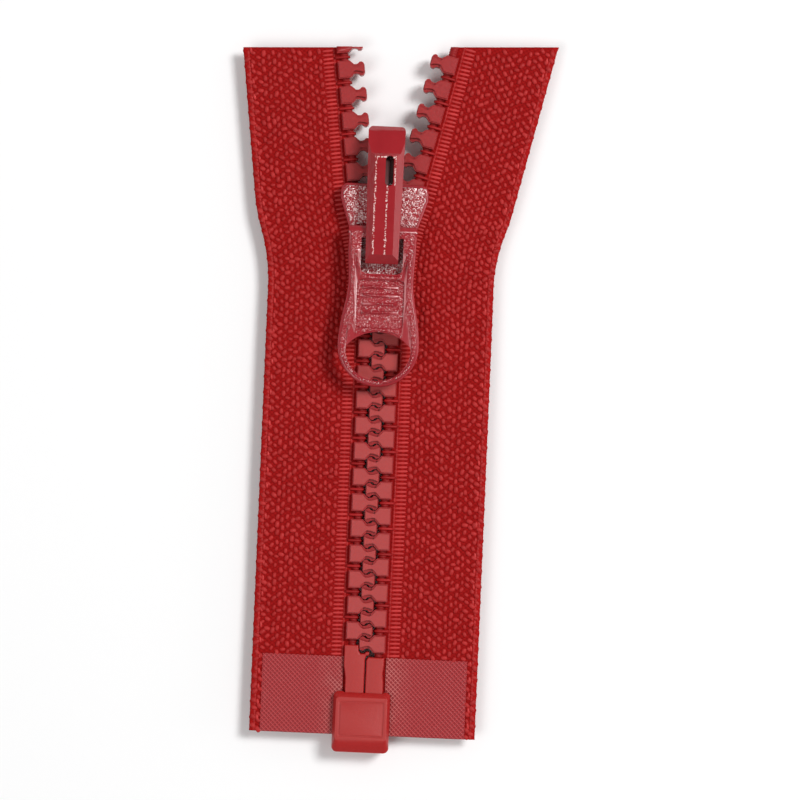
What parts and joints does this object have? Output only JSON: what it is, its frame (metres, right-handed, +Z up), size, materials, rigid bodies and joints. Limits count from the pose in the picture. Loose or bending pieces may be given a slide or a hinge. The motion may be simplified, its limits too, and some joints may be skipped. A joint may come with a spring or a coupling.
{
  "type": "separating zipper",
  "caption": "Moulded-tooth separating zipper cut to length: two woven tapes, interlocking teeth, locking slider with pull tab, retainer box and insert pin.",
  "frame": {"origin": "on the chain axis at the middle of the retainer box along it, on the underside rest face of the box", "axes": "+Y along the closed chain towards the open end, +X to the right seen from the slider's face, +Z up through the tapes"},
  "size_m": [0.0469, 0.1057, 0.01],
  "materials": {
    "woven_tape": "woven polyester, matte",
    "bead_cord": "woven polyester cord, matte",
    "reinforcing_film": "thin embossed film over the weave, satin",
    "moulded_teeth": "moulded acetal, semi-gloss",
    "moulded_end_parts": "moulded acetal, semi-gloss",
    "painted_slider": "enamelled zinc casting, gloss",
    "painted_tab": "enamelled zinc casting, gloss",
    "spring_steel": "thin rolled spring strip"
  },
  "bodies": {
    "bottom_end": {"left_tape_bottom": "woven_tape", "right_tape_bottom": "woven_tape", "left_cord_bottom": "bead_cord", "right_cord_bottom": "bead_cord", "left_film_front": "reinforcing_film", "left_film_back": "reinforcing_film", "right_film_front": "reinforcing_film", "right_film_back": "reinforcing_film", "retainer_box": "moulded_end_parts", "retainer_pin": "moulded_end_parts", "insert_pin": "moulded_end_parts"},
    "left_lower": {"left_tape_closed": "woven_tape", "left_cord_closed": "bead_cord", "left_teeth_closed": "moulded_teeth"},
    "left_upper": {"left_tape_open": "woven_tape", "left_cord_open": "bead_cord", "left_teeth_open": "moulded_teeth"},
    "right_lower": {"right_tape_closed": "woven_tape", "right_cord_closed": "bead_cord", "right_teeth_closed": "moulded_teeth"},
    "right_upper": {"right_tape_open": "woven_tape", "right_cord_open": "bead_cord", "right_teeth_open": "moulded_teeth"},
    "slider": {"slider_body": "painted_slider", "slider_crown": "painted_slider"},
    "lock": {"lock_pawl": "spring_steel"},
    "pull_tab": {"pull_tab": "painted_tab"}
  },
  "joints": [
    {"name": "slider_travel", "type": "slide", "parent": "bottom_end", "child": "slider", "axis": [0, 1, 0], "range_m": [-0.059, 0], "deforming": ["left_tape_bottom", "left_tape_closed", "left_tape_open", "right_tape_bottom", "right_tape_closed", "right_tape_open", "left_cord_bottom", "left_cord_closed", "left_cord_open", "right_cord_bottom", "right_cord_closed", "right_cord_open", "left_teeth_closed", "left_teeth_open", "right_teeth_closed", "right_teeth_open"]},
    {"name": "left_lower_bend", "type": "hinge", "parent": "bottom_end", "child": "left_lower", "pos_m": [0, 0.0112, 0.0021], "axis": [0, 0, 1], "range_deg": [0, 15.5]},
    {"name": "left_upper_bend", "type": "hinge", "parent": "left_lower", "child": "left_upper", "pos_m": [0, 0.064, 0.0021], "axis": [0, 0, 1], "range_deg": [-7, 0]},
    {"name": "right_lower_bend", "type": "hinge", "parent": "bottom_end", "child": "right_lower", "pos_m": [0, 0.0112, 0.0021], "axis": [0, 0, 1], "range_deg": [-15.5, 0]},
    {"name": "right_upper_bend", "type": "hinge", "parent": "right_lower", "child": "right_upper", "pos_m": [0, 0.064, 0.0021], "axis": [0, 0, 1], "range_deg": [0, 13]},
    {"name": "tab_swing", "type": "hinge", "parent": "slider", "child": "pull_tab", "pos_m": [0, 0.0725, 0.00625], "axis": [-1, 0, 0], "range_deg": [0, 140]},
    {"name": "lock_lift", "type": "slide", "parent": "slider", "child": "lock", "axis": [0, 0, 1], "range_m": [0, 0.0006]}
  ],
  "couplings": [
    {"joint": "left_lower_bend", "follows": "slider_travel", "rad_per_m": -4.5851},
    {"joint": "left_upper_bend", "follows": "slider_travel", "rad_per_m": 2.0707},
    {"joint": "right_lower_bend", "follows": "slider_travel", "rad_per_m": 4.5851},
    {"joint": "right_upper_bend", "follows": "slider_travel", "rad_per_m": -3.8456},
    {"joint": "lock_lift", "follows": "tab_swing", "m_per_rad": 0.00024553}
  ]
}
